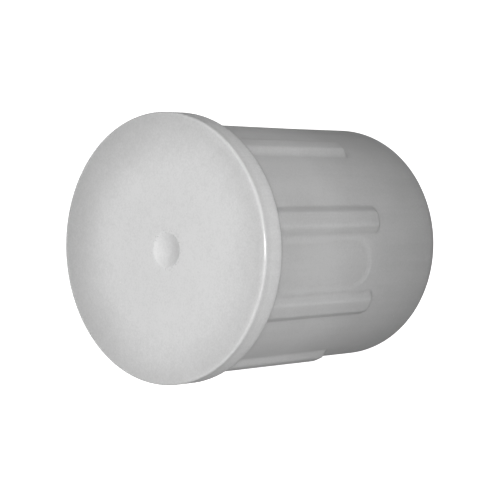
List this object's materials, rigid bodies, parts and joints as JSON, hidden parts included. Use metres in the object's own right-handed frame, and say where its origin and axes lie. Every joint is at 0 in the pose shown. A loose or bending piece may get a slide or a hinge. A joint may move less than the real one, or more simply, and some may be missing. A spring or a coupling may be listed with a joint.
{
  "type": "pneumatic muffler",
  "caption": "Push-in pneumatic muffler: ribbed milky plastic shell with a plain spigot, and a disc cap that draws out a felt cartridge on a perforated tube.",
  "frame": {"origin": "centre of the inlet end face, which the muffler stands on", "axes": "+Z along the muffler's axis from the inlet end to the closed cap; -Y faces the picture's camera"},
  "size_m": [0.026, 0.026, 0.0298],
  "materials": {
    "shell_plastic": "natural translucent moulded plastic, satin",
    "cap_plastic": "natural white moulded plastic, satin with a fine grain",
    "carrier_plastic": "natural white moulded plastic, smooth",
    "felt": "dense wool felt, cut edges",
    "perforated_steel": "drawn stainless tube with punched holes",
    "washer_steel": "stamped stainless sheet",
    "spring_steel": "hardened spring steel, dull",
    "gauze_wire": "plain-weave stainless wire",
    "seal_rubber": "moulded nitrile, slightly glossy"
  },
  "bodies": {
    "shell": {"ribbed_shell": "shell_plastic"},
    "cartridge": {"end_cap": "cap_plastic", "core_tube": "perforated_steel", "disc_spring": "spring_steel", "upper_washer": "washer_steel", "gauze_sleeve": "gauze_wire", "felt_ring_1": "felt", "felt_ring_2": "felt", "felt_ring_3": "felt", "felt_ring_4": "felt", "felt_ring_5": "felt", "felt_ring_6": "felt", "lower_washer": "washer_steel", "seal_carrier": "carrier_plastic", "pack_seal": "seal_rubber", "push_on_clip": "spring_steel"}
  },
  "joints": [
    {"name": "cartridge_pull", "type": "slide", "parent": "shell", "child": "cartridge", "axis": [0, 0, 1], "range_m": [0, 0.022]}
  ]
}
